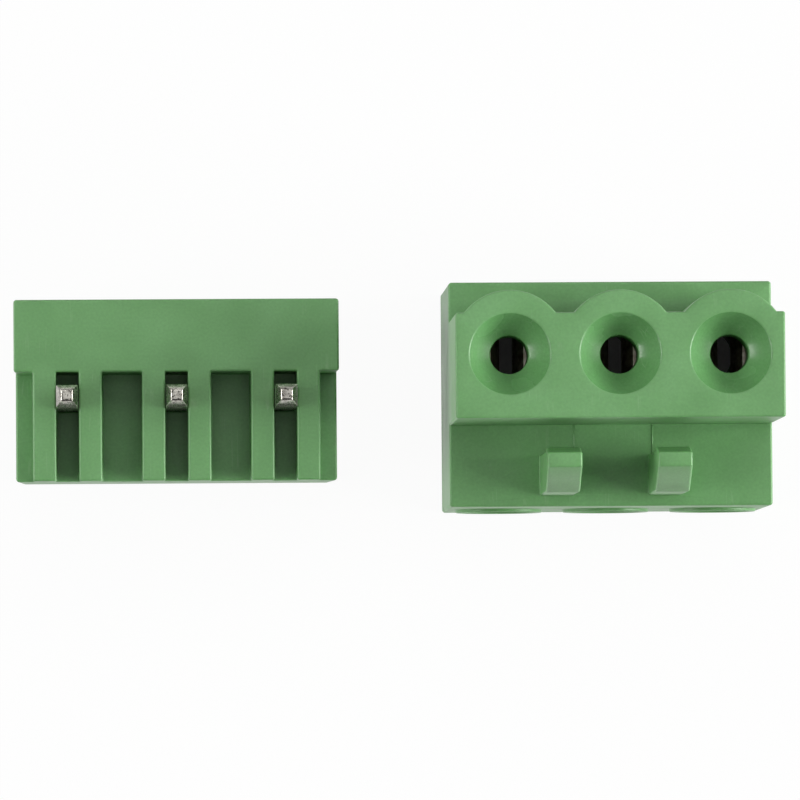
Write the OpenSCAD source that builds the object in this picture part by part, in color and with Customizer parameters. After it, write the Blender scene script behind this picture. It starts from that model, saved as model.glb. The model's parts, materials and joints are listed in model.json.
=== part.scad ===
// Three-pole pluggable terminal block at 5.08 mm pitch: a screw plug and its straight board header,
// standing side by side, unplugged. Millimetres, +Z up, origin under the middle of the pair.
// The plug stands on its wire face with its nose up. The header stands on its rim with its pins up.

/* [Pair] */
// Distance between two poles
pitch = 5.08; // [5.04:0.01:5.6]
// What each housing gives up of its width, so that blocks stack at the pitch
stack_gap = 0.08; // [0.02:0.01:0.4]
// Clear space between the plug and the header
pair_gap = 5.2; // [2:0.1:15]
// How far the header's pins lie in front of the plug's sockets
header_forward = 1.675; // [0:0.005:2.6]

/* [Plug housing] */
// Height of the plug's body above its socket axis
body_rise = 3.745; // [3.3:0.005:5]
// Depth of the plug's body below its socket axis, to the screw face
body_drop = 6.795; // [6.75:0.005:8]
// Length of the body, from the wire face to the step
body_len = 10; // [9:0.1:13]
// Length of the nose that enters the header
nose_len = 8.2; // [7.8:0.1:10]
// Nose below the socket axis
nose_drop = 2.955; // [2.5:0.005:3.2]
// Nose above the socket axis, in the valleys between its lobes
nose_rise = 1.905; // [1.75:0.005:2.3]
// Radius of the lobe over each socket
lobe_r = 2.66; // [2.4:0.01:2.9]
// How far a lobe's centre lies above the socket axis
lobe_rise = 0.285; // [0.1:0.005:0.5]
// Corner radius of the plug's and the header's long edges
edge_r = 0.15; // [0.05:0.01:0.3]
// Thickness of the nose's front wall, funnel included
nose_wall = 3; // [2.6:0.1:3.4]

/* [Sockets] */
// Radius of the socket hole
socket_r = 0.885; // [0.8:0.005:1.1]
// Radius of the funnel's mouth
funnel_r = 1.885; // [1.5:0.005:2.2]
// Depth of the funnel
funnel_len = 2; // [1:0.1:2.3]

/* [Latch hooks] */
// Width of a hook
hook_w = 1.6; // [1:0.05:2.4]
// Length of a hook from the step
hook_len = 7.3; // [6:0.1:8]
// Gap between the nose and the hook's barb
barb_gap = 1.26; // [1.1:0.01:1.6]
// How far the barb stands in from the hook's arm
barb_h = 0.16; // [0.1:0.01:0.5]
// Length of the barb, from its ledge to the hook's tip
barb_len = 1.5; // [0.8:0.1:2.4]
// How far the barb's ramp falls back at the tip
barb_ramp = 0.28; // [0.1:0.01:0.4]
// Bevel on the barb's ledge
hook_bevel = 0.12; // [0.05:0.01:0.2]
// Thickness of a hook's arm
hook_t = 1.9; // [1.6:0.01:1.95]
// Thickness of a hook at its tip
hook_tip_t = 0.67; // [0.4:0.01:1]
// Length of the slope that takes a hook's back in to its tip
hook_slope = 2.2; // [1:0.1:4]

/* [Screw face] */
// Radius of a screw's access hole
access_r = 1.7; // [1.3:0.05:1.75]
// Thickness of the wall that the access holes go through
access_wall = 0.8; // [0.6:0.01:0.85]
// Width of the raised rim round an access hole
rim_w = 0.35; // [0.2:0.05:0.6]
// Height of the raised rim
rim_h = 0.15; // [0.05:0.05:0.5]

/* [Clamp] */
// Clearance between a clamp's pieces along the screw
slack = 0.05; // [0.02:0.01:0.06]
// Clearance of the cage between the chamber's side walls
cage_clear = 0.1; // [0.05:0.01:0.12]
// Clearance between the cage and the chamber's end
cage_end_clear = 0.4; // [0.1:0.05:0.6]
// Travel of the cage from open to closed
clamp_travel = 2.5; // [2.2:0.05:2.7]
// Distance of the screw's axis from the wire face
screw_z = 5; // [4.8:0.05:5.2]
// Radius of the screw's head
head_r = 1.9; // [1.8:0.01:1.95]
// Height of the screw's head
head_h = 1.1; // [0.9:0.01:1.15]
// Width of the screwdriver's slot
slot_w = 0.7; // [0.4:0.05:1]
// Depth of the screwdriver's slot
slot_d = 0.6; // [0.3:0.05:0.7]
// Radius of the screw's thread
thread_r = 1.45; // [1.2:0.01:1.5]
// Clearance round the screw in the cage's threaded hole
thread_clear = 0.05; // [0.02:0.01:0.08]
// Clearance between the screw and the cage's side walls, which pass it as the cage rises
screw_room = 0.1; // [0.09:0.01:0.15]
// Outer width of the cage
cage_w = 3.9; // [3.6:0.05:4]
// Length of the cage along the wire
cage_len = 4.4; // [4:0.1:4.5]
// Thickness of the cage's threaded wall
cage_nut_t = 1.1; // [0.8:0.05:1.15]
// Thickness of the cage's floor
cage_t = 0.55; // [0.4:0.05:0.6]
// Corner radius of the cage
cage_r = 0.45; // [0.2:0.05:0.5]
// Chamfer on the screw's head and tip
screw_chamfer = 0.2; // [0.1:0.05:0.3]

/* [Wire cover] */
// Thickness of the cover on the wire face
cover_t = 1.6; // [1.2:0.05:1.7]
// How far its plugs reach into the chambers
cover_plug = 1; // [0.6:0.05:1]
// Clearance round each of its plugs
cover_clear = 0.04; // [0.02:0.01:0.1]
// Radius of a wire entry
wire_r = 1.3; // [1.1:0.05:1.35]
// Radius of a wire entry's mouth
wire_mouth_r = 1.8; // [1.5:0.05:2]
// Depth of a wire entry's mouth
wire_mouth_len = 0.7; // [0.4:0.05:1]

/* [Contact] */
// Thickness of the contact's strip
strip_t = 0.5; // [0.4:0.05:0.5]
// Clearance of the strip in the cage, each side
strip_clear = 0.05; // [0.03:0.01:0.1]
// Width of a tooth on the side that bites the wire
tooth_w = 0.6; // [0.4:0.05:1]
// Depth of the grooves between the teeth
tooth_d = 0.12; // [0.05:0.01:0.2]
// Length of the strip's step between the clamp and the fork
strip_step = 0.9; // [0.5:0.1:1.2]
// Length of the fork's folded base
fork_base = 2.5; // [1.8:0.1:3]
// Gap between the two leaves where they grip the pin
leaf_gap = 0.6; // [0.4:0.05:0.9]
// Distance from the nose's front wall to the grip
grip_depth = 1.6; // [1:0.1:2]
// Clearance between the leaves' ends and the front wall
leaf_clear = 0.2; // [0.1:0.05:0.4]
// Gap between the leaves at their mouth
leaf_mouth = 1.5; // [1.2:0.05:1.7]
// Height of the leaves above the socket axis
leaf_rise = 1.2; // [0.9:0.05:1.3]
// Height of the fork's base below the socket axis
leaf_drop = 1.85; // [1.7:0.05:2]
// Clearance round the fork in the nose
fork_clear = 0.15; // [0.1:0.01:0.25]

/* [Header housing] */
// Clearance of the nose in the cavity
nose_clear = 0.1; // [0.05:0.01:0.2]
// Clearance past the end of the nose
nose_end_clear = 0.2; // [0.1:0.05:0.6]
// Thickness of the base that holds the pins, behind the cavity
base_t = 3.6; // [3.2:0.1:5]
// Thickness of the wall on the hook side
hook_wall = 0.805; // [0.7:0.005:1]
// Thickness of the other wall, at the lobes
lobe_wall = 1.565; // [1:0.005:2]
// Depth of the notches in the board face
notch_d = 2.8; // [2:0.05:3]
// Width of the plain strip beside the notches
strip_w = 3.38; // [3:0.01:3.8]
// Width of the slot at each pin
pin_slot_w = 1.06; // [1.04:0.01:1.2]
// Width of the bar at each side of a pin slot
bar_w = 1.08; // [0.8:0.01:1.2]

/* [Header pins] */
// Side of the square pin
pin_w = 1; // [0.8:0.01:1.02]
// Length of the pin that stands out of the board face
pin_out = 3.5; // [2.5:0.1:5]
// Distance of the pin's inner end from the rim
pin_in = 1.2; // [0.6:0.1:3]
// Length of the pin's pointed ends
point_len = 0.6; // [0.3:0.05:1]
// Side of the flat on the pin's ends
point_w = 0.5; // [0.3:0.05:0.7]

/* [Hidden] */

poles = 3;
green = "#6fa56c";
tin = "#b9b8b2";
plated = "#c9bd8b";
zinc = "#c4c7ca";

block_w = poles * pitch - stack_gap;
// pole n of 1 to 3, measured from the middle of its housing
function pole_x(n) = (n - (poles + 1) / 2) * pitch;

// the header's section, measured from the pin axis, and its heights from the rim
header_front = nose_drop + nose_clear + hook_wall;
header_back = lobe_rise + lobe_r + nose_clear + lobe_wall;
cavity_len = nose_len + nose_end_clear;
header_len = cavity_len + base_t;
notch_z = header_len - notch_d;

// where the two halves stand: the pair's box is centred on the origin
plug_x = (block_w + pair_gap) / 2;
header_x = -plug_x;
pair_back = max(body_rise, header_back - header_forward);
pair_front = max(body_drop + rim_h, header_front + header_forward);
axis_y = (pair_front - pair_back) / 2;
pin_y = axis_y - header_forward;

// the clamp's stack along the screw, from the screw face upwards, with the clamp open
head_y = -body_drop + access_wall + slack;
neck_y = head_y + head_h;
nut_y = neck_y + slack + clamp_travel;
bar_y = nut_y + cage_nut_t + slack;
gap_y = bar_y + strip_t;
floor_y = gap_y + clamp_travel + slack;
cage_top = floor_y + cage_t;
wire_y = (gap_y + floor_y) / 2;
screw_tip = bar_y - slack;

// the cage's inner width, and the chamber that holds a clamp
cage_in = 2 * (thread_r + screw_room);
chamber_w = cage_w + 2 * cage_clear;
chamber_y = -body_drop + access_wall;
chamber_top = cage_top + slack;
chamber_end = screw_z + cage_len / 2 + cage_end_clear;

// the contact: a strip through the cage, a step down, and a fork of two leaves in the nose
nose_top = body_len + nose_len;
contact_w = cage_in - 2 * strip_clear;
contact_z = cover_t + cover_plug + slack;
step_z = chamber_end + strip_step / 4;
fork_z = step_z + strip_step;
leaf_z = fork_z + strip_t;
grip_z = nose_top - nose_wall - grip_depth;
leaf_end = nose_top - nose_wall - leaf_clear;
leaf_steps = 12;

// overlap that joins two shapes of one piece, and overshoot of a cut
lap = 0.2;

// a rectangle from (x0, y0) to (x1, y1) with rounded corners
module slab(x0, y0, x1, y1, r) {
  translate([x0 + r, y0]) square([x1 - x0 - 2 * r, y1 - y0]);
  translate([x0, y0 + r]) square([x1 - x0, y1 - y0 - 2 * r]);
  for (x = [x0 + r, x1 - r], y = [y0 + r, y1 - r]) translate([x, y]) circle(r, $fn = 32);
}

// lays a drawing of (y, z) across the width w, centred on x
module across(x, w) {
  translate([x - w / 2, 0, 0]) rotate([90, 0, 90]) linear_extrude(w) children();
}

// the scalloped outline of the nose, or of the cavity when grown by a clearance
module nose_outline(grow, half_w) {
  translate([-half_w, -nose_drop - grow]) square([2 * half_w, nose_drop + nose_rise + 2 * grow]);
  intersection() {
    for (n = [1 : poles]) translate([pole_x(n), lobe_rise]) circle(lobe_r + grow, $fn = 96);
    translate([-half_w, 0]) square([2 * half_w, 2 * lobe_r]);
  }
}

// a latch hook from the side: y across, z up, with its barb towards the nose
module hook_profile() {
  barb = -nose_drop - barb_gap;
  arm = barb - barb_h;
  tip = barb - barb_ramp;
  top = body_len + hook_len;
  polygon([
    [arm, body_len - lap],
    [arm, top - barb_len],
    [barb, top - barb_len + hook_bevel],
    [tip, top],
    [tip - hook_tip_t, top],
    [arm - hook_t, top - hook_slope],
    [arm - hook_t, body_len - lap]
  ]);
}

module hook(x) {
  across(x, hook_w) hook_profile();
}

// a hole along the screw's axis, from y0 to y1
module along_screw(n, r, y0, y1) {
  translate([pole_x(n), y0, screw_z]) rotate([-90, 0, 0]) cylinder(h = y1 - y0, r = r, $fn = 64);
}

module plug_pole_cuts(n) {
  channel_w = contact_w + 2 * fork_clear;
  translate([pole_x(n), 0, 0]) {
    translate([0, 0, nose_top - funnel_len])
      cylinder(h = funnel_len, r1 = socket_r, r2 = funnel_r, $fn = 96);
    translate([0, 0, nose_top - nose_wall - lap])
      cylinder(h = nose_wall, r = socket_r, $fn = 64);
    translate([-channel_w / 2, -leaf_drop - fork_clear, chamber_end - lap])
      cube([channel_w, leaf_drop + leaf_rise + 2 * fork_clear, nose_top - nose_wall - chamber_end + lap]);
    translate([-chamber_w / 2, chamber_y, cover_t - lap])
      cube([chamber_w, chamber_top - chamber_y, chamber_end - cover_t + lap]);
  }
  along_screw(n, access_r, -body_drop - rim_h - lap, chamber_y + lap);
}

module plug_housing() {
  color(green) translate([plug_x, axis_y, 0]) difference() {
    union() {
      translate([0, 0, cover_t]) linear_extrude(body_len - cover_t)
        slab(-block_w / 2, -body_drop, block_w / 2, body_rise, edge_r);
      translate([0, 0, body_len - lap]) linear_extrude(nose_len + lap)
        nose_outline(0, block_w / 2);
      for (n = [1 : poles]) along_screw(n, access_r + rim_w, -body_drop - rim_h, -body_drop + lap);
      for (n = [1 : poles - 1]) hook(pole_x(n) + pitch / 2);
    }
    for (n = [1 : poles]) plug_pole_cuts(n);
  }
}

module rear_cover() {
  color(green) translate([plug_x, axis_y, 0]) difference() {
    union() {
      linear_extrude(cover_t) slab(-block_w / 2, -body_drop, block_w / 2, body_rise, edge_r);
      for (n = [1 : poles]) translate([pole_x(n) - chamber_w / 2 + cover_clear, chamber_y + cover_clear, 0])
        cube([chamber_w - 2 * cover_clear, chamber_top - chamber_y - 2 * cover_clear, cover_t + cover_plug]);
    }
    for (n = [1 : poles]) translate([pole_x(n), wire_y, 0]) {
      translate([0, 0, -lap]) cylinder(h = cover_t + cover_plug + 2 * lap, r = wire_r, $fn = 64);
      cylinder(h = wire_mouth_len, r1 = wire_mouth_r, r2 = wire_r, $fn = 64);
    }
  }
}

// half the gap between the leaves at height z: they close to the grip, then flare
function leaf_half(z) = z < grip_z
  ? leaf_gap / 2 + (contact_w / 2 - strip_t - leaf_gap / 2) * (1 + cos(180 * (z - leaf_z) / (grip_z - leaf_z))) / 2
  : leaf_gap / 2 + (leaf_mouth - leaf_gap) / 2 * pow((z - grip_z) / (leaf_end - grip_z), 2);

// one leaf from above: x across, z up
module leaf_profile() {
  zs = [for (i = [0 : leaf_steps]) leaf_z + (leaf_end - leaf_z) * i / leaf_steps];
  polygon(concat(
    [for (z = zs) [leaf_half(z), z]],
    [for (i = [leaf_steps : -1 : 0]) [leaf_half(zs[i]) + strip_t, zs[i]]]
  ));
}

// the strip from the side: through the cage, down the step and along the fork's base
module strip_profile() {
  teeth = floor((cage_len - tooth_w) / tooth_w);
  difference() {
    polygon([
      [bar_y, contact_z], [bar_y, step_z], [-leaf_drop, fork_z], [-leaf_drop, fork_z + fork_base],
      [-leaf_drop + strip_t, fork_z + fork_base], [-leaf_drop + strip_t, fork_z],
      [gap_y, step_z], [gap_y, contact_z]
    ]);
    for (i = [1 : teeth]) translate([gap_y, screw_z - cage_len / 2 + i * tooth_w])
      polygon([[-tooth_d, 0], [lap, -tooth_d - lap], [lap, tooth_d + lap]]);
  }
}

module contact(n) {
  color(tin) translate([plug_x + pole_x(n), axis_y, 0]) {
    across(0, contact_w) strip_profile();
    for (side = [0, 1]) mirror([side, 0, 0]) {
      translate([0, leaf_rise, 0]) rotate([90, 0, 0]) linear_extrude(leaf_rise + leaf_drop) leaf_profile();
      translate([contact_w / 2 - strip_t, -leaf_drop, fork_z]) cube([strip_t, leaf_rise + leaf_drop, leaf_z - fork_z]);
    }
  }
}

module clamp_cage(n) {
  color(plated) translate([plug_x + pole_x(n), axis_y, 0]) difference() {
    translate([0, 0, screw_z - cage_len / 2]) linear_extrude(cage_len) difference() {
      slab(-cage_w / 2, nut_y, cage_w / 2, cage_top, cage_r);
      translate([-cage_in / 2, nut_y + cage_nut_t]) square([cage_in, floor_y - nut_y - cage_nut_t]);
    }
    translate([0, nut_y - lap, screw_z]) rotate([-90, 0, 0])
      cylinder(h = cage_nut_t + 2 * lap, r = thread_r + thread_clear, $fn = 64);
  }
}

module clamp_screw(n) {
  screw_len = screw_tip - head_y;
  color(zinc) translate([plug_x + pole_x(n), axis_y + head_y, screw_z]) rotate([-90, 0, 0]) difference() {
    rotate_extrude($fn = 96) polygon([
      [0, 0], [head_r - screw_chamfer, 0], [head_r, screw_chamfer], [head_r, head_h],
      [thread_r, head_h], [thread_r, screw_len - screw_chamfer], [thread_r - screw_chamfer, screw_len],
      [0, screw_len]
    ]);
    translate([-head_r - lap, -slot_w / 2, -lap]) cube([2 * (head_r + lap), slot_w, slot_d + lap]);
  }
}

// a notch in the header's board face, open at the hook side, centred on x
module notch(x, w) {
  translate([x - w / 2, -header_front - lap, notch_z])
    cube([w, header_front + header_back - strip_w + lap, notch_d + lap]);
}

module header_housing() {
  recess_w = pitch - pin_slot_w - 2 * bar_w;
  color(green) translate([header_x, pin_y, 0]) difference() {
    linear_extrude(header_len) slab(-block_w / 2, -header_front, block_w / 2, header_back, edge_r);
    translate([0, 0, -lap]) linear_extrude(cavity_len + lap) nose_outline(nose_clear, block_w / 2 + lap);
    for (n = [1 : poles]) {
      notch(pole_x(n), pin_slot_w);
      translate([pole_x(n) - pin_w / 2, -pin_w / 2, cavity_len - lap]) cube([pin_w, pin_w, base_t]);
    }
    for (n = [0 : poles]) notch(pole_x(n) + pitch / 2, recess_w);
  }
}

// a pin from the side, pointed at both ends
module pin_profile() {
  top = header_len + pin_out;
  half = pin_w / 2;
  tip = point_w / 2;
  polygon([
    [-tip, pin_in], [tip, pin_in], [half, pin_in + point_len], [half, top - point_len],
    [tip, top], [-tip, top], [-half, top - point_len], [-half, pin_in + point_len]
  ]);
}

module header_pin(n) {
  color(tin) translate([header_x + pole_x(n), pin_y, 0]) intersection() {
    across(0, pin_w) pin_profile();
    rotate([0, 0, 90]) across(0, pin_w) pin_profile();
  }
}

plug_housing();
rear_cover();
contact(1);  // contact_1
contact(2);  // contact_2
contact(3);  // contact_3
clamp_cage(1);  // clamp_cage_1
clamp_cage(2);  // clamp_cage_2
clamp_cage(3);  // clamp_cage_3
clamp_screw(1);  // clamp_screw_1
clamp_screw(2);  // clamp_screw_2
clamp_screw(3);  // clamp_screw_3
header_housing();
header_pin(1);  // header_pin_1
header_pin(2);  // header_pin_2
header_pin(3);  // header_pin_3
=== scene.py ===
import json
import math

import bmesh
import bpy
from mathutils import Matrix, Vector


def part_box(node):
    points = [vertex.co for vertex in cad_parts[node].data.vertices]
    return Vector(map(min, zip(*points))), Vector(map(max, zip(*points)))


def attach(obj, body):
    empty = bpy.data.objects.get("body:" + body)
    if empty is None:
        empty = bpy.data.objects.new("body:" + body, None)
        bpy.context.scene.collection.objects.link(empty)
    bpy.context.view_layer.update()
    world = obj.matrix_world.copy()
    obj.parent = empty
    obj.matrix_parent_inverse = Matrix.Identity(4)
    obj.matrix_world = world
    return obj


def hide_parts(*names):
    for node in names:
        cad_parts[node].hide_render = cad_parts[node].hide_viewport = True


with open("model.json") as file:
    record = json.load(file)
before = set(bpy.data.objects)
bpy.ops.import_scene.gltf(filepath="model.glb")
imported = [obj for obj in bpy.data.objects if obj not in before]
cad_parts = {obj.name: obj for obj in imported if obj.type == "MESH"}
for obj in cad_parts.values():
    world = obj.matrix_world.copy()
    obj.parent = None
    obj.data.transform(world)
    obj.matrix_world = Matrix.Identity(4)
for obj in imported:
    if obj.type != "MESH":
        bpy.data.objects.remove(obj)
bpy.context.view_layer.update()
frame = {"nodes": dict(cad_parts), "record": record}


# ---- Camera -------------------------------------------------------------------------------
# A long lens looks almost straight down on the noses and pins of the pair, a little from the
# screw side. It is built from its own axes, so that the row of poles stays level.

MM = 0.001

camera_place = Vector((-11.77, -15.42, 384.1)) * MM
camera_target = Vector((0.03, -0.49, 18.2)) * MM
camera_roll = math.radians(-0.4)

camera_data = bpy.data.cameras.new("camera")
camera_data.sensor_width = 36
camera_data.lens = 359.7
camera_data.clip_start = 0.01
camera_data.clip_end = 10
camera = bpy.data.objects.new("camera", camera_data)
bpy.context.scene.collection.objects.link(camera)
back = (camera_place - camera_target).normalized()
right = Vector((0, 1, 0)).cross(back).normalized()
level = Matrix((right, back.cross(right), back)).transposed().to_4x4()
camera.matrix_world = Matrix.Translation(camera_place) @ level @ Matrix.Rotation(camera_roll, 4, "Z")
bpy.context.scene.camera = camera


# ---- Plug housing -------------------------------------------------------------------------
# One injection moulding in green polyamide: the body with a chamber for each clamp, the lobed
# nose with a funnel at each socket, and two latch hooks. The tool gave it a fine satin skin,
# and its edges are slightly round.

moulded_edge = 0.11 * MM
inner_edge_share = 0.45
# folds sharper than this are rounded; those down to the crisp angle stay crisp, and flatter ones blend
sharp_angle = math.radians(48)
crisp_angle = math.radians(20)
# a rounding takes up to this share of the face beside it
room_share = 0.45
# points closer than this are one point
tiny = 0.001 * MM


def room_beside(edges):
    """How far each sharp edge is from the next one across the flat faces that it borders."""
    flats = {}
    for edge in edges:
        for loop in edge.link_loops:
            normal = loop.face.normal
            plane = (*(round(c, 2) for c in normal), round(normal.dot(loop.vert.co) / (0.01 * MM)))
            flats.setdefault(plane, []).append(loop)
    room = dict.fromkeys(edges, 1.0)
    for loops in flats.values():
        for loop in loops:
            edge = loop.edge
            start = loop.vert.co
            run = loop.link_loop_next.vert.co - start
            along = run.normalized()
            inward = loop.face.normal.cross(along)
            others = [other.edge for other in loops if not set(other.edge.verts) & set(edge.verts)]
            # looks across the face from five places along the edge
            for share in (0.04, 0.27, 0.5, 0.73, 0.96):
                for other in others:
                    ends = [vert.co - start - run * share for vert in other.verts]
                    near, far = [end.dot(along) for end in ends]
                    if near * far > 0 or near == far:
                        continue
                    low, high = [end.dot(inward) for end in ends]
                    reach = low + (high - low) * near / (near - far)
                    if reach > tiny:
                        room[edge] = min(room[edge], reach)
                        room[other] = min(room[other], reach)
    return room


def rounded_copy(node, name, radius, fine_shape=None):
    """A closed copy of a solid's mesh, its outer edges rounded by radius and its inner corners by less.

    fine_shape moves each point first, for a taper or a dish that the solid leaves out."""
    mesh = frame["nodes"][node].data.copy()
    mesh.name = name
    mesh.materials.clear()
    work = bmesh.new()
    work.from_mesh(mesh)
    bmesh.ops.remove_doubles(work, verts=work.verts, dist=tiny)
    bmesh.ops.dissolve_limit(work, angle_limit=math.radians(0.5), verts=work.verts, edges=work.edges)
    if fine_shape:
        for vert in work.verts:
            fine_shape(vert.co)
        work.normal_update()
    weight = work.edges.layers.float.new("bevel_weight_edge")
    sharp = [edge for edge in work.edges if edge.calc_face_angle(0) > sharp_angle]
    for edge in work.edges:
        edge.smooth = not crisp_angle < edge.calc_face_angle(0) <= sharp_angle
    for edge, room in room_beside(sharp).items():
        offset = math.tan(edge.calc_face_angle() / 2) * (1 if edge.is_convex else inner_edge_share)
        edge[weight] = min(1, offset, room_share * room / radius)
    bmesh.ops.triangulate(work, faces=[face for face in work.faces if len(face.verts) > 4])
    for face in work.faces:
        face.smooth = True
    work.to_mesh(mesh)
    work.free()
    piece = bpy.data.objects.new(name, mesh)
    bpy.context.scene.collection.objects.link(piece)
    rounding = piece.modifiers.new("rounded edges", "BEVEL")
    rounding.limit_method = "WEIGHT"
    rounding.width = radius
    rounding.segments = 3
    rounding.miter_outer = "MITER_ARC"
    rounding.use_clamp_overlap = False
    rounding.loop_slide = False
    piece.modifiers.new("flat faces stay flat", "WEIGHTED_NORMAL").keep_sharp = True
    return piece


def linear(colour):
    """An sRGB hex colour as linear values."""
    parts = [int(colour[i:i + 2], 16) / 255 for i in (1, 3, 5)]
    return [c / 12.92 if c <= 0.04045 else ((c + 0.055) / 1.055) ** 2.4 for c in parts] + [1]


def add_node(tree, kind, feeds=None, **settings):
    """Adds a node: settings are its properties, feeds its inputs' values or the sockets that drive them."""
    node = tree.nodes.new(kind)
    for name, value in settings.items():
        setattr(node, name, value)
    for key, value in (feeds or {}).items():
        if isinstance(value, bpy.types.NodeSocket):
            tree.links.new(value, node.inputs[key])
        else:
            node.inputs[key].default_value = value
    return node


def new_material(name):
    """An empty material, with its tree and its object coordinates."""
    material = bpy.data.materials.new(name)
    material.use_nodes = True
    tree = material.node_tree
    tree.nodes.clear()
    return material, tree, add_node(tree, "ShaderNodeTexCoord").outputs["Object"]


def moulded_polyamide(name, colour, deep, pale, roughness):
    """Injection-moulded polyamide 66, which lets a little light in at its edges.

    It is faintly clouded by the melt's flow, and has a fine spark-eroded grain."""
    flow_size = 2.6 * MM
    # the tool's grain is about 0.04 mm, drawn three times as coarse so that it shows
    grain_size = 0.12 * MM
    # handling leaves faint, pale scuffs: long lines about 0.42 mm apart, in patches about 1.4 mm across,
    # with half a line's width as a share of their spacing
    scuffs_per_metre = 2400
    scuff_line = 0.035
    scuff_stretch = 28
    scuff_patch = 1.4 * MM
    material, tree, place = new_material(name)
    flow = add_node(tree, "ShaderNodeTexNoise", {"Vector": place, "Scale": 1 / flow_size, "Detail": 3,
                                                 "Roughness": 0.45})
    grain = add_node(tree, "ShaderNodeTexNoise", {"Vector": place, "Scale": 1 / grain_size, "Detail": 2})
    cloud = add_node(tree, "ShaderNodeValToRGB", {"Fac": flow.outputs["Fac"]})
    cloud.color_ramp.elements[0].position = 0.3
    cloud.color_ramp.elements[0].color = linear(deep)
    cloud.color_ramp.elements[1].position = 0.72
    cloud.color_ramp.elements[1].color = linear(pale)
    cloud.color_ramp.elements.new(0.5).color = linear(colour)
    speck = add_node(tree, "ShaderNodeMapRange", {"Value": grain.outputs["Fac"], "From Min": 0.3,
                                                  "From Max": 0.7, "To Min": 0.94, "To Max": 1.06})
    tone = add_node(tree, "ShaderNodeHueSaturation", {"Color": cloud.outputs["Color"],
                                                      "Value": speck.outputs["Result"]})
    turned = add_node(tree, "ShaderNodeMapping", {"Vector": place, "Rotation": (0.4, 0.3, 0.9),
                                                  "Scale": (1, 1 / scuff_stretch, 1)})
    lines = add_node(tree, "ShaderNodeTexVoronoi",
                     {"Vector": turned.outputs["Vector"], "Scale": scuffs_per_metre, "Randomness": 1},
                     feature="DISTANCE_TO_EDGE")
    patch = add_node(tree, "ShaderNodeTexNoise", {"Vector": place, "Scale": 1 / scuff_patch, "Detail": 1})
    scuff = add_node(tree, "ShaderNodeMapRange", {"Value": lines.outputs["Distance"], "From Min": 0,
                                                  "From Max": scuff_line, "To Min": 1, "To Max": 0})
    where = add_node(tree, "ShaderNodeMapRange", {"Value": patch.outputs["Fac"], "From Min": 0.6,
                                                  "From Max": 0.72, "To Min": 0, "To Max": 0.22})
    scuff = add_node(tree, "ShaderNodeMath", {0: scuff.outputs[0], 1: where.outputs[0]}, operation="MULTIPLY")
    tone = add_node(tree, "ShaderNodeMix", {"Factor": scuff.outputs[0], "A": tone.outputs[0],
                                            "B": linear("#a9c9a2")}, data_type="RGBA")
    gloss = add_node(tree, "ShaderNodeMapRange", {"Value": flow.outputs["Fac"], "From Min": 0.3,
                                                  "From Max": 0.7, "To Min": roughness - 0.05,
                                                  "To Max": roughness + 0.05})
    relief = add_node(tree, "ShaderNodeBump", {"Height": grain.outputs["Fac"], "Distance": 0.0022 * MM,
                                               "Strength": 1.0})
    skin = add_node(tree, "ShaderNodeBsdfPrincipled", {
        "Base Color": tone.outputs["Result"],
        "Roughness": gloss.outputs["Result"],
        "Normal": relief.outputs["Normal"],
        "IOR": 1.53,
        "Subsurface Weight": 0.12,
        "Subsurface Radius": (0.25, 0.6, 0.2),
        "Subsurface Scale": 0.5 * MM,
    })
    add_node(tree, "ShaderNodeOutputMaterial", {"Surface": skin.outputs["BSDF"]})
    return material


# satin: an even mid green with soft highlights
green_polyamide = moulded_polyamide("green moulded polyamide", "#6fa568", "#699f62", "#75ab6f", 0.42)
# the funnels are glossier, as off a polished core pin, so that they catch the lights in fans; their green is
# also painted darker than the rest, as painted shade inside the funnels
polished_polyamide_with_painted_shade = moulded_polyamide("green polyamide off a polished pin",
                                       "#659a5f", "#5f9459", "#6ba465", 0.25)

# each funnel is a dished cone, steeper at the rim than at the hole: 1 would be a straight cone
funnel_depth = 1.05 * MM
funnel_dish = 1.4
funnel_radius = 1.885 * MM
# its wall leans, neither upright like the socket's nor level like the nose's face
wall_lean = (0.05, 0.95)

nose_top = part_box("plug_housing")[1].z
sockets = [mount for mount in frame["record"]["mounts"] if mount["name"].startswith("pin_socket")]


def shallow_funnels(point):
    """Lifts the wall of each funnel to its dished cone."""
    for socket in sockets:
        aside = point - Vector(socket["pos_m"])
        hole = MM * socket["dims"]["r_mm"]
        outward = (aside.to_2d().length - hole) / (funnel_radius - hole)
        if aside.z > 0 and outward < 1:
            point.z = nose_top - funnel_depth * (1 - max(outward, 0) ** funnel_dish)


plug_housing = rounded_copy("plug_housing", "plug_moulding", moulded_edge, shallow_funnels)
plug_housing.data.materials.append(green_polyamide)
plug_housing.data.materials.append(polished_polyamide_with_painted_shade)
# the leaning wall of each funnel takes the darker green, which is painted shade
for face in plug_housing.data.polygons:
    leans = wall_lean[0] < face.normal.z < wall_lean[1]
    for socket in sockets:
        aside = face.center - Vector(socket["pos_m"])
        if leans and aside.z > 0 and aside.to_2d().length < funnel_radius:
            face.material_index = 1
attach(plug_housing, "root")
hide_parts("plug_housing")

# Two fine flash lines cross the step, from the nose's foot to the hooks' facing sides, as where an
# insert meets the tool. Each is a low arch of green on the step's face.
flash_width = 0.07 * MM
flash_height = 0.03 * MM
flash_steps = 6
step_z = 10 * MM
nose_front = -1.355 * MM
hook_back = -2.775 * MM
hook_faces = (8.44 * MM, 12.12 * MM)

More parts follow.
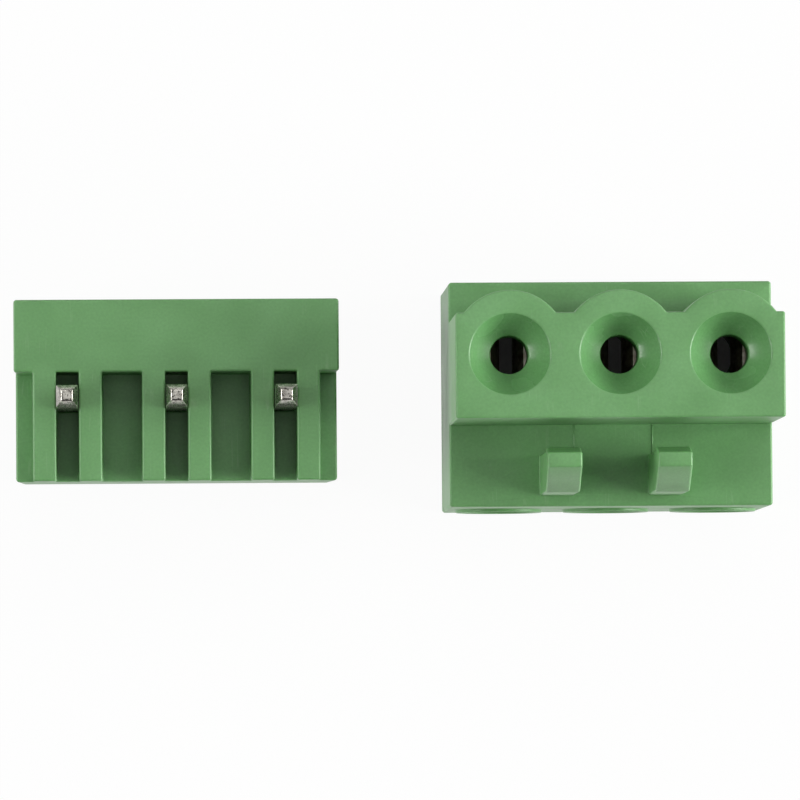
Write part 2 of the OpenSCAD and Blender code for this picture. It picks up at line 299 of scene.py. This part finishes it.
work = bmesh.new()
for side in hook_faces:
    rows = []
    for y in (nose_front + flash_height, hook_back + 2 * flash_height):
        row = []
        for i in range(flash_steps + 1):
            x = side + flash_width * (i / flash_steps - 0.5)
            z = step_z + flash_height * math.sin(math.pi * i / flash_steps)
            row.append(work.verts.new((x, y, z)))
        rows.append(row)
    for i in range(flash_steps):
        work.faces.new((rows[0][i], rows[1][i], rows[1][i + 1], rows[0][i + 1])).smooth = True
    work.faces.new((rows[0][-1], rows[1][-1], rows[1][0], rows[0][0]))
    work.faces.new(rows[0])
    work.faces.new(rows[1][::-1])
bmesh.ops.recalc_face_normals(work, faces=work.faces)
mesh = bpy.data.meshes.new("flash_lines")
work.to_mesh(mesh)
work.free()
mesh.materials.append(green_polyamide)
flash_lines = bpy.data.objects.new("flash_lines", mesh)
bpy.context.scene.collection.objects.link(flash_lines)
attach(flash_lines, "root")


# ---- Wire cover ---------------------------------------------------------------------------
# A second moulding of the same polyamide closes the clamp chambers at the wire face. Its three
# plugs fit into the chambers, and a funnelled hole in each lets the wire in.

cover_edge = 0.08 * MM

rear_cover = rounded_copy("rear_cover", "wire_cover", cover_edge)
rear_cover.data.materials.append(green_polyamide)
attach(rear_cover, "root")
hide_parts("rear_cover")


# ---- Contacts -----------------------------------------------------------------------------
# Each contact is stamped from tinned bronze strip and folded: a flat tongue inside the clamp
# and a fork of two leaves behind the socket, which grip the header's pin.

POLES = (1, 2, 3)


def plated_metal(name, colour, stain, roughness, grain, stretch, depth, torn_above=1):
    """Soft plating over drawn or stamped metal: dull, stained in blots, with fine streaks along the draw.

    Above the height where the crop tears it, it shows dark pits."""
    blot_size = 6 * grain
    # the highest spots of a noise of this scale are the pits
    pit_spacing = 0.07 * MM / 0.6
    material, tree, place = new_material(name)
    along = add_node(tree, "ShaderNodeMapping", {"Vector": place, "Scale": stretch})
    streaks = add_node(tree, "ShaderNodeTexNoise", {"Vector": along.outputs["Vector"], "Scale": 1 / grain,
                                                    "Detail": 4, "Roughness": 0.6})
    blots = add_node(tree, "ShaderNodeTexNoise", {"Vector": place, "Scale": 1 / blot_size, "Detail": 2})
    tint = add_node(tree, "ShaderNodeValToRGB", {"Fac": blots.outputs["Fac"]})
    tint.color_ramp.elements[0].position = 0.35
    tint.color_ramp.elements[0].color = linear(stain)
    tint.color_ramp.elements[1].position = 0.6
    tint.color_ramp.elements[1].color = linear(colour)
    gloss = add_node(tree, "ShaderNodeMapRange", {"Value": streaks.outputs["Fac"], "From Min": 0.3,
                                                  "From Max": 0.7, "To Min": roughness - 0.08,
                                                  "To Max": roughness + 0.1})
    specks = add_node(tree, "ShaderNodeTexNoise", {"Vector": place, "Scale": 1 / pit_spacing, "Detail": 1})
    pits = add_node(tree, "ShaderNodeMapRange", {"Value": specks.outputs["Fac"], "From Min": 0.57,
                                                 "From Max": 0.66, "To Min": 0, "To Max": 0.7})
    spot = add_node(tree, "ShaderNodeSeparateXYZ", {0: place})
    torn = add_node(tree, "ShaderNodeMath", {0: spot.outputs["Z"], 1: torn_above}, operation="GREATER_THAN")
    pits = add_node(tree, "ShaderNodeMath", {0: pits.outputs[0], 1: torn.outputs[0]}, operation="MULTIPLY")
    tint = add_node(tree, "ShaderNodeMix", {"Factor": pits.outputs[0], "A": tint.outputs["Color"],
                                            "B": linear("#3c3933")}, data_type="RGBA")
    height = add_node(tree, "ShaderNodeMath", {0: streaks.outputs["Fac"], 1: pits.outputs[0]},
                      operation="SUBTRACT")
    relief = add_node(tree, "ShaderNodeBump", {"Height": height.outputs[0], "Distance": depth,
                                               "Strength": 1.0})
    metal = add_node(tree, "ShaderNodeBsdfPrincipled", {
        "Base Color": tint.outputs["Result"],
        "Metallic": 1.0,
        "Roughness": gloss.outputs["Result"],
        "Normal": relief.outputs["Normal"],
    })
    add_node(tree, "ShaderNodeOutputMaterial", {"Surface": metal.outputs["BSDF"]})
    return material


# matt tin: a warm pale grey, browner where the tin is thin
tinned_bronze = plated_metal("tinned bronze strip", "#b9b4a8", "#8d8375", 0.4,
                             0.08 * MM, (1, 1, 0.15), 0.004 * MM)
stamped_edge = 0.04 * MM

for n in POLES:
    contact = rounded_copy(f"contact_{n}", f"contact_strip_{n}", stamped_edge)
    contact.data.materials.append(tinned_bronze)
    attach(contact, "root")
    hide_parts(f"contact_{n}")


# ---- Clamp cages --------------------------------------------------------------------------
# Each cage is a length of drawn brass tube, nickel-flashed, with a thread tapped through its
# thick wall. It rides up its screw and presses the wire against the contact's tongue.

# thin nickel: a pale metal that the brass still warms, streaked along the tube
plated_brass = plated_metal("nickel-flashed brass", "#cfc6a4", "#b9ab80", 0.34,
                            0.08 * MM, (1, 1, 0.2), 0.003 * MM)
tube_edge = 0.06 * MM

for n in POLES:
    cage = rounded_copy(f"clamp_cage_{n}", f"cage_tube_{n}", tube_edge)
    cage.data.materials.append(plated_brass)
    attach(cage, f"cage_{n}")
    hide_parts(f"clamp_cage_{n}")


# ---- Clamp screws -------------------------------------------------------------------------
# Zinc-plated steel screws, M3 at 0.5 mm pitch, with a slotted cheese head that the housing
# keeps captive. The head is upset, its slot sawn, and the thread rolled between flat dies.

# blue-passivated zinc: a cool, even grey, faintly streaked along the screw
zinc_steel = plated_metal("blue zinc plate on steel", "#c3c8cd", "#aab0b8", 0.3,
                          0.07 * MM, (1, 0.3, 1), 0.002 * MM)

low, high = (Vector(corner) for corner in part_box("clamp_screw_1"))
screw_sizes = {
    "Head radius": (high.x - low.x) / 2,
    "Head height": 1.1 * MM,
    "Head rounding": 0.22 * MM,
    "Slot width": 0.7 * MM,
    "Slot depth": 0.6 * MM,
    "Thread radius": 1.45 * MM,
    "Thread depth": 0.29 * MM,
    "Thread pitch": 0.5 * MM,
    "Tip chamfer": 0.25 * MM,
    "Length": high.y - low.y,
}
saw_length = 6 * MM
crisp_fold = math.radians(50)
steps_round = 64
head_rows = 8
thread_rows = 100

tree = bpy.data.node_groups.new("slotted clamp screw", "GeometryNodeTree")
tree.interface.new_socket("Geometry", in_out="OUTPUT", socket_type="NodeSocketGeometry")
for label in screw_sizes:
    tree.interface.new_socket(label, in_out="INPUT", socket_type="NodeSocketFloat")
tree.interface.new_socket("Head face", in_out="INPUT", socket_type="NodeSocketVector")
tree.interface.new_socket("Finish", in_out="INPUT", socket_type="NodeSocketMaterial")
given = add_node(tree, "NodeGroupInput").outputs
place = add_node(tree, "ShaderNodeSeparateXYZ", {0: add_node(tree, "GeometryNodeInputPosition").outputs[0]})
angle = add_node(tree, "ShaderNodeMath", {0: place.outputs[0], 1: math.tau}, operation="MULTIPLY")
cosine = add_node(tree, "ShaderNodeMath", {0: angle.outputs[0]}, operation="COSINE")
sine = add_node(tree, "ShaderNodeMath", {0: angle.outputs[0]}, operation="SINE")

# The head is turned from rows: the middle of its face, its rounded rim, its side and its underside.
row = add_node(tree, "ShaderNodeMapRange", {"Value": place.outputs[1], "From Min": -0.5, "From Max": 0.5,
                                            "To Min": 0, "To Max": head_rows - 1})
bend = add_node(tree, "ShaderNodeMapRange", {"Value": row.outputs[0], "From Min": 1,
                                             "From Max": head_rows - 3, "To Min": 0, "To Max": math.pi / 2})
bend_sine = add_node(tree, "ShaderNodeMath", {0: bend.outputs[0]}, operation="SINE")
bend_cosine = add_node(tree, "ShaderNodeMath", {0: bend.outputs[0]}, operation="COSINE")
flat = add_node(tree, "ShaderNodeMath", {0: given["Head radius"], 1: given["Head rounding"]},
                operation="SUBTRACT")
radius = add_node(tree, "ShaderNodeMath", {0: bend_sine.outputs[0], 1: given["Head rounding"],
                                           2: flat.outputs[0]}, operation="MULTIPLY_ADD")
inside = add_node(tree, "ShaderNodeMath", {0: row.outputs[0], 1: (head_rows - 1) / 2, 2: (head_rows - 2) / 2},
                  operation="COMPARE")
radius = add_node(tree, "ShaderNodeMath", {0: radius.outputs[0], 1: inside.outputs[0]}, operation="MULTIPLY")
rise = add_node(tree, "ShaderNodeMath", {0: 1, 1: bend_cosine.outputs[0]}, operation="SUBTRACT")
rise = add_node(tree, "ShaderNodeMath", {0: rise.outputs[0], 1: given["Head rounding"]}, operation="MULTIPLY")
under = add_node(tree, "ShaderNodeMath", {0: row.outputs[0], 1: head_rows - 2.5}, operation="GREATER_THAN")
rise = add_node(tree, "ShaderNodeMix", {"Factor": under.outputs[0], "A": rise.outputs[0],
                                        "B": given["Head height"]})
x = add_node(tree, "ShaderNodeMath", {0: radius.outputs[0], 1: cosine.outputs[0]}, operation="MULTIPLY")
y = add_node(tree, "ShaderNodeMath", {0: radius.outputs[0], 1: sine.outputs[0]}, operation="MULTIPLY")
spot = add_node(tree, "ShaderNodeCombineXYZ", {0: x.outputs[0], 1: y.outputs[0], 2: rise.outputs[0]})
sheet = add_node(tree, "GeometryNodeMeshGrid", {"Size X": 1, "Size Y": 1, "Vertices X": steps_round + 1,
                                                "Vertices Y": head_rows})
head = add_node(tree, "GeometryNodeSetPosition", {"Geometry": sheet.outputs["Mesh"],
                                                  "Position": spot.outputs[0]})
head = add_node(tree, "GeometryNodeMergeByDistance", {"Geometry": head.outputs[0], "Distance": tiny})
# The saw cuts straight across the face.
saw_size = add_node(tree, "ShaderNodeCombineXYZ", {0: saw_length, 1: given["Slot width"]})
saw_depth = add_node(tree, "ShaderNodeMath", {0: given["Slot depth"], 1: 2}, operation="MULTIPLY")
tree.links.new(saw_depth.outputs[0], saw_size.inputs[2])
saw = add_node(tree, "GeometryNodeMeshCube", {"Size": saw_size.outputs[0]})
head = add_node(tree, "GeometryNodeMeshBoolean", {"Mesh 1": head.outputs[0], "Mesh 2": saw.outputs["Mesh"]},
                operation="DIFFERENCE", solver="EXACT")

# The shank starts inside the head. Its rows follow the length, and the thread sinks in between
# rounded crests, running out under the head.
end_row = 1 / thread_rows
root = add_node(tree, "ShaderNodeMath", {0: given["Head height"], 1: 0.9}, operation="MULTIPLY")
along = add_node(tree, "ShaderNodeMapRange", {"Value": place.outputs[1], "From Min": end_row - 0.5,
                                              "From Max": 0.5 - end_row, "To Min": root.outputs[0],
                                              "To Max": given["Length"]})
turns = add_node(tree, "ShaderNodeMath", {0: along.outputs[0], 1: given["Thread pitch"]}, operation="DIVIDE")
turns = add_node(tree, "ShaderNodeMath", {0: turns.outputs[0], 1: place.outputs[0]}, operation="SUBTRACT")
wave = add_node(tree, "ShaderNodeMath", {0: turns.outputs[0], 1: 0.5}, operation="PINGPONG")
cut = add_node(tree, "ShaderNodeMapRange", {"Value": wave.outputs[0], "From Min": 0.05, "From Max": 0.43,
                                            "To Min": 0, "To Max": given["Thread depth"]})
free = add_node(tree, "ShaderNodeMath", {0: along.outputs[0], 1: given["Head height"]}, operation="SUBTRACT")
free = add_node(tree, "ShaderNodeMath", {0: free.outputs[0], 1: given["Thread pitch"]}, operation="DIVIDE",
                use_clamp=True)
cut = add_node(tree, "ShaderNodeMath", {0: cut.outputs[0], 1: free.outputs[0]}, operation="MULTIPLY")
radius = add_node(tree, "ShaderNodeMath", {0: given["Thread radius"], 1: cut.outputs[0]},
                  operation="SUBTRACT")
cone = add_node(tree, "ShaderNodeMath", {0: given["Length"], 1: along.outputs[0]}, operation="SUBTRACT")
cone = add_node(tree, "ShaderNodeMath", {0: cone.outputs[0], 1: given["Thread radius"]}, operation="ADD")
cone = add_node(tree, "ShaderNodeMath", {0: cone.outputs[0], 1: given["Tip chamfer"]}, operation="SUBTRACT")
radius = add_node(tree, "ShaderNodeMath", {0: radius.outputs[0], 1: cone.outputs[0]}, operation="MINIMUM")
inside = add_node(tree, "ShaderNodeMath", {0: place.outputs[1], 1: 0, 2: 0.5 - end_row / 2},
                  operation="COMPARE")
radius = add_node(tree, "ShaderNodeMath", {0: radius.outputs[0], 1: inside.outputs[0]}, operation="MULTIPLY")
x = add_node(tree, "ShaderNodeMath", {0: radius.outputs[0], 1: cosine.outputs[0]}, operation="MULTIPLY")
y = add_node(tree, "ShaderNodeMath", {0: radius.outputs[0], 1: sine.outputs[0]}, operation="MULTIPLY")
spot = add_node(tree, "ShaderNodeCombineXYZ", {0: x.outputs[0], 1: y.outputs[0], 2: along.outputs[0]})
sheet = add_node(tree, "GeometryNodeMeshGrid", {"Size X": 1, "Size Y": 1, "Vertices X": steps_round + 1,
                                                "Vertices Y": thread_rows + 1})
shank = add_node(tree, "GeometryNodeSetPosition", {"Geometry": sheet.outputs["Mesh"],
                                                   "Position": spot.outputs[0]})
shank = add_node(tree, "GeometryNodeMergeByDistance", {"Geometry": shank.outputs[0], "Distance": tiny})

# The two join, and the screw is laid along its hole with its head on the screw face.
screw = add_node(tree, "GeometryNodeMeshBoolean", {"Mesh 2": head.outputs["Mesh"]},
                 operation="UNION", solver="EXACT")
tree.links.new(shank.outputs[0], screw.inputs["Mesh 2"])
fold = add_node(tree, "GeometryNodeInputMeshEdgeAngle")
folded = add_node(tree, "ShaderNodeMath", {0: fold.outputs["Unsigned Angle"], 1: crisp_fold},
                  operation="GREATER_THAN")
screw = add_node(tree, "GeometryNodeSetShadeSmooth", {"Geometry": screw.outputs[0]})
screw = add_node(tree, "GeometryNodeSetShadeSmooth", {"Geometry": screw.outputs[0], "Shade Smooth": False,
                                                      "Selection": folded.outputs[0]}, domain="EDGE")
screw = add_node(tree, "GeometryNodeTransform", {"Geometry": screw.outputs[0],
                                                 "Translation": given["Head face"],
                                                 "Rotation": (-math.pi / 2, 0, 0)})
screw = add_node(tree, "GeometryNodeRealizeInstances", {"Geometry": screw.outputs[0]})
screw = add_node(tree, "GeometryNodeSetMaterial", {"Geometry": screw.outputs[0], "Material": given["Finish"]})
add_node(tree, "NodeGroupOutput", {"Geometry": screw.outputs[0]})


def from_tree(name, tree, inputs):
    """A plain object with the mesh that a tree makes from these inputs."""
    piece = bpy.data.objects.new(name, bpy.data.meshes.new("blank"))
    bpy.context.scene.collection.objects.link(piece)
    maker = piece.modifiers.new(tree.name, "NODES")
    maker.node_group = tree
    for port in tree.interface.items_tree:
        if port.in_out == "INPUT":
            maker[port.identifier] = inputs[port.name]
    mesh = bpy.data.meshes.new_from_object(piece.evaluated_get(bpy.context.evaluated_depsgraph_get()))
    mesh.name = name
    piece.modifiers.remove(maker)
    piece.data = mesh
    return piece


for n in POLES:
    low, high = (Vector(corner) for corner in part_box(f"clamp_screw_{n}"))
    head_face = ((low.x + high.x) / 2, low.y, (low.z + high.z) / 2)
    inputs = screw_sizes | {"Head face": head_face, "Finish": zinc_steel}
    screw = from_tree(f"cheese_head_screw_{n}", tree, inputs)
    screw.modifiers.new("flat faces stay flat", "WEIGHTED_NORMAL").keep_sharp = True
    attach(screw, f"screw_{n}")
    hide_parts(f"clamp_screw_{n}")


# ---- Header housing -----------------------------------------------------------------------
# The board header's shroud, moulded in the same green. Its rim takes the plug's nose, and its
# board face has a plain strip, a slot at each pin and cored recesses between the bars.

# Towards the rim its outside tapers by the draft that lets it leave the tool. The points that move
# are those within the skin.
draft = math.tan(math.radians(1.1))
outer_skin = 0.3 * MM

header_low, header_high = (Vector(corner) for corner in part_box("header_housing"))


def drafted(point):
    """Draws the outside in, more towards the rim."""
    taper = (header_high.z - point.z) * draft
    for axis in (0, 1):
        if point[axis] < header_low[axis] + outer_skin:
            point[axis] += taper
        elif point[axis] > header_high[axis] - outer_skin:
            point[axis] -= taper


header_housing = rounded_copy("header_housing", "header_moulding", moulded_edge, drafted)
header_housing.data.materials.append(green_polyamide)
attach(header_housing, "root")
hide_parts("header_housing")


# ---- Header pins --------------------------------------------------------------------------
# Square brass wire, tinned and cropped to a blunt point at both ends, then pressed through the
# header's base. The crop leaves steep facets and a small flat, whose edges the tumbling rounds.

low, high = (Vector(corner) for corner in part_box("header_pin_1"))
torn_length = 0.5 * MM
# bright tin: a soft, mottled mirror, pitted where the crop tore it
tinned_brass = plated_metal("tinned brass wire", "#c9c6bd", "#8f8b84", 0.27,
                            0.06 * MM, (1, 1, 0.5), 0.006 * MM, torn_above=high.z - torn_length)

pin_sizes = {
    "Side": high.x - low.x,
    "Side of the flat": 0.54 * MM,
    "Length of a point": 0.6 * MM,
    "Slant of the crop": 0.38 * MM,
    "Length": high.z - low.z,
    "Share of rounding along the wire": 0.35,
}
flat_rounding = 0.09 * MM
least_fold = math.radians(15)

tree = bpy.data.node_groups.new("cropped square pin", "GeometryNodeTree")
tree.interface.new_socket("Geometry", in_out="OUTPUT", socket_type="NodeSocketGeometry")
for label in pin_sizes:
    tree.interface.new_socket(label, in_out="INPUT", socket_type="NodeSocketFloat")
tree.interface.new_socket("Middle", in_out="INPUT", socket_type="NodeSocketVector")
tree.interface.new_socket("Finish", in_out="INPUT", socket_type="NodeSocketMaterial")
given = add_node(tree, "NodeGroupInput").outputs
# a bar of three lengths: a point, the wire and a point, each given its height and width
bar = add_node(tree, "GeometryNodeMeshCube", {"Size": (1, 1, 3), "Vertices X": 2, "Vertices Y": 2,
                                             "Vertices Z": 4})
place = add_node(tree, "ShaderNodeSeparateXYZ", {0: add_node(tree, "GeometryNodeInputPosition").outputs[0]})
far = add_node(tree, "ShaderNodeMath", {0: place.outputs[2]}, operation="ABSOLUTE")
at_end = add_node(tree, "ShaderNodeMath", {0: far.outputs[0], 1: 1}, operation="GREATER_THAN")
up = add_node(tree, "ShaderNodeMath", {0: place.outputs[2]}, operation="SIGN")
width = add_node(tree, "ShaderNodeMix", {"Factor": at_end.outputs[0], "A": given["Side"],
                                         "B": given["Side of the flat"]})
half = add_node(tree, "ShaderNodeMath", {0: given["Length"], 1: 0.5}, operation="MULTIPLY")
shoulder = add_node(tree, "ShaderNodeMath", {0: half.outputs[0], 1: given["Length of a point"]},
                    operation="SUBTRACT")
height = add_node(tree, "ShaderNodeMix", {"Factor": at_end.outputs[0], "A": shoulder.outputs[0],
                                          "B": half.outputs[0]})
# the facet on the screw side reaches further down the wire, so it is steeper and looks darker from above
near = add_node(tree, "ShaderNodeMath", {0: place.outputs[1], 1: 0}, operation="LESS_THAN")
slant = add_node(tree, "ShaderNodeMath", {0: near.outputs[0], 1: given["Slant of the crop"]},
                 operation="MULTIPLY")
inner = add_node(tree, "ShaderNodeMath", {0: 1, 1: at_end.outputs[0]}, operation="SUBTRACT")
slant = add_node(tree, "ShaderNodeMath", {0: slant.outputs[0], 1: inner.outputs[0]}, operation="MULTIPLY")
height = add_node(tree, "ShaderNodeMath", {0: height.outputs[0], 1: slant.outputs[0]}, operation="SUBTRACT")
x = add_node(tree, "ShaderNodeMath", {0: place.outputs[0], 1: width.outputs[0]}, operation="MULTIPLY")
y = add_node(tree, "ShaderNodeMath", {0: place.outputs[1], 1: width.outputs[0]}, operation="MULTIPLY")
z = add_node(tree, "ShaderNodeMath", {0: up.outputs[0], 1: height.outputs[0]}, operation="MULTIPLY")
spot = add_node(tree, "ShaderNodeCombineXYZ", {0: x.outputs[0], 1: y.outputs[0], 2: z.outputs[0]})
pin = add_node(tree, "GeometryNodeSetPosition", {"Geometry": bar.outputs["Mesh"],
                                                 "Position": spot.outputs[0]})
# every fold is rounded, most of all the edges of the flats
place = add_node(tree, "ShaderNodeSeparateXYZ", {0: add_node(tree, "GeometryNodeInputPosition").outputs[0]})
far = add_node(tree, "ShaderNodeMath", {0: place.outputs[2]}, operation="ABSOLUTE")
rim = add_node(tree, "ShaderNodeMath", {0: half.outputs[0], 1: 0.999}, operation="MULTIPLY")
on_flat = add_node(tree, "ShaderNodeMath", {0: far.outputs[0], 1: rim.outputs[0]}, operation="GREATER_THAN")
share = add_node(tree, "ShaderNodeMix", {"Factor": on_flat.outputs[0], "B": 1,
                                         "A": given["Share of rounding along the wire"]})
fold = add_node(tree, "GeometryNodeInputMeshEdgeAngle")
folded = add_node(tree, "ShaderNodeMath", {0: fold.outputs["Unsigned Angle"], 1: least_fold},
                  operation="GREATER_THAN")
share = add_node(tree, "ShaderNodeMath", {0: share.outputs[0], 1: folded.outputs[0]}, operation="MULTIPLY")
pin = add_node(tree, "GeometryNodeStoreNamedAttribute",
               {"Geometry": pin.outputs[0], "Name": "bevel_weight_edge", "Value": share.outputs[0]},
               data_type="FLOAT", domain="EDGE")
pin = add_node(tree, "GeometryNodeSetShadeSmooth", {"Geometry": pin.outputs[0]})
pin = add_node(tree, "GeometryNodeTransform", {"Geometry": pin.outputs[0], "Translation": given["Middle"]})
pin = add_node(tree, "GeometryNodeRealizeInstances", {"Geometry": pin.outputs[0]})
pin = add_node(tree, "GeometryNodeSetMaterial", {"Geometry": pin.outputs[0], "Material": given["Finish"]})
add_node(tree, "NodeGroupOutput", {"Geometry": pin.outputs[0]})

for n in POLES:
    low, high = (Vector(corner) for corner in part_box(f"header_pin_{n}"))
    inputs = pin_sizes | {"Middle": (low + high) / 2, "Finish": tinned_brass}
    pin = from_tree(f"square_pin_{n}", tree, inputs)
    rounding = pin.modifiers.new("tumbled edges", "BEVEL")
    rounding.limit_method = "WEIGHT"
    rounding.width = flat_rounding
    rounding.segments = 4
    rounding.use_clamp_overlap = False
    pin.modifiers.new("flat faces stay flat", "WEIGHTED_NORMAL")
    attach(pin, "root")
    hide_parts(f"header_pin_{n}")


# ---- Studio -------------------------------------------------------------------------------
# A white table in a dim room. At each end of the row stands a pair of low softboxes, which light
# the funnels from the side. Four weaker ones behind and overhead fill the faces.

floor_half = 2
table_glow = 0.95
glow_below = 0.006
footprint_inset = 0.3 * MM
softbox_aim = Vector((0, 0, 0.01))
room_light = {"horizon": 0.06, "ceiling": 0.03}

floor_mesh = bpy.data.meshes.new("floor")
floor_mesh.from_pydata(
    [(-floor_half, -floor_half, 0), (floor_half, -floor_half, 0), (floor_half, floor_half, 0),
     (-floor_half, floor_half, 0)], [], [(0, 1, 2, 3)])
floor = bpy.data.objects.new("floor", floor_mesh)
bpy.context.scene.collection.objects.link(floor)
# The table is white paper. The camera sees it nearly evenly white, but only outside the footprints,
# so that hardly any light shows through the sockets from below.
floor_material, tree, place = new_material("white paper table")
ray = add_node(tree, "ShaderNodeLightPath")
seen = add_node(tree, "ShaderNodeMath", {0: ray.outputs["Is Camera Ray"], 1: ray.outputs["Is Glossy Ray"]},
                operation="MAXIMUM")
seen = add_node(tree, "ShaderNodeMath", {0: seen.outputs[0], 1: ray.outputs["Is Transmission Ray"]},
                operation="MAXIMUM")
share = add_node(tree, "ShaderNodeMath", {0: seen.outputs[0], 1: table_glow}, operation="MULTIPLY")
for node in ("rear_cover", "header_housing"):
    low, high = (Vector(corner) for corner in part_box(node))
    aside = add_node(tree, "ShaderNodeVectorMath", {0: place, 1: (low + high) / 2}, operation="SUBTRACT")
    aside = add_node(tree, "ShaderNodeVectorMath", {0: aside.outputs[0]}, operation="ABSOLUTE")
    aside = add_node(tree, "ShaderNodeVectorMath", {0: aside.outputs[0], 1: (high - low) / 2},
                     operation="SUBTRACT")
    parts = add_node(tree, "ShaderNodeSeparateXYZ", {0: aside.outputs[0]})
    outside = add_node(tree, "ShaderNodeMath", {0: parts.outputs[0], 1: parts.outputs[1]},
                       operation="MAXIMUM")
    outside = add_node(tree, "ShaderNodeMath", {0: outside.outputs[0], 1: -footprint_inset},
                       operation="GREATER_THAN")
    outside = add_node(tree, "ShaderNodeMath", {0: outside.outputs[0], 1: glow_below}, operation="MAXIMUM")
    share = add_node(tree, "ShaderNodeMath", {0: share.outputs[0], 1: outside.outputs[0]},
                     operation="MULTIPLY")
paper = add_node(tree, "ShaderNodeTexNoise", {"Vector": place, "Scale": 1 / (0.6 * MM), "Detail": 3})
tooth = add_node(tree, "ShaderNodeBump", {"Height": paper.outputs["Fac"], "Distance": 0.01 * MM})
matt = add_node(tree, "ShaderNodeBsdfDiffuse", {"Color": linear("#f2f2f0"),
                                                 "Normal": tooth.outputs["Normal"]})
glow = add_node(tree, "ShaderNodeEmission", {"Color": (1, 1, 1, 1), "Strength": 1.0})
table = add_node(tree, "ShaderNodeMixShader", {0: share.outputs[0], 1: matt.outputs[0], 2: glow.outputs[0]})
add_node(tree, "ShaderNodeOutputMaterial", {"Surface": table.outputs[0]})
floor_mesh.materials.append(floor_material)


def softbox(name, place, width, height, power):
    """A rectangular softbox that faces the pair."""
    lamp = bpy.data.lights.new(name, "AREA")
    lamp.shape = "RECTANGLE"
    lamp.size = width
    lamp.size_y = height
    lamp.energy = power
    holder = bpy.data.objects.new(name, lamp)
    bpy.context.scene.collection.objects.link(holder)
    holder.location = place
    holder.rotation_euler = (softbox_aim - Vector(place)).to_track_quat("-Z", "Y").to_euler()


softbox("low right softbox", (0.387, -0.034, 0.107), 0.24, 0.1, 1.19)
softbox("high right softbox", (0.352, -0.031, 0.198), 0.24, 0.1, 0.71)
softbox("low left softbox", (-0.387, -0.034, 0.107), 0.24, 0.1, 0.24)
softbox("high left softbox", (-0.352, -0.031, 0.198), 0.24, 0.1, 0.7)
softbox("right back softbox", (0.174, 0.174, 0.325), 0.2, 0.2, 0.187)
softbox("back softbox", (0, 0.246, 0.325), 0.2, 0.2, 0.193)
softbox("left back softbox", (-0.174, 0.174, 0.325), 0.2, 0.2, 0.078)
softbox("overhead softbox", (0.001, 0, 0.41), 0.2, 0.2, 0.135)

world = bpy.data.worlds.new("studio")
bpy.context.scene.world = world
world.use_nodes = True
tree = world.node_tree
tree.nodes.clear()
ray = add_node(tree, "ShaderNodeLightPath")
direction = add_node(tree, "ShaderNodeTexCoord")
height = add_node(tree, "ShaderNodeSeparateXYZ", {0: direction.outputs["Generated"]})
room = add_node(tree, "ShaderNodeMapRange", {"Value": height.outputs["Z"], "From Min": 0.05, "From Max": 0.5,
                                             "To Min": room_light["horizon"],
                                             "To Max": room_light["ceiling"]})
room = add_node(tree, "ShaderNodeMath", {0: room.outputs["Result"], 1: ray.outputs["Is Camera Ray"]},
                operation="MAXIMUM")
sky = add_node(tree, "ShaderNodeBackground", {"Color": (1, 1, 1, 1), "Strength": room.outputs[0]})
add_node(tree, "ShaderNodeOutputWorld", {"Surface": sky.outputs[0]})

bpy.context.scene.view_settings.view_transform = "Standard"
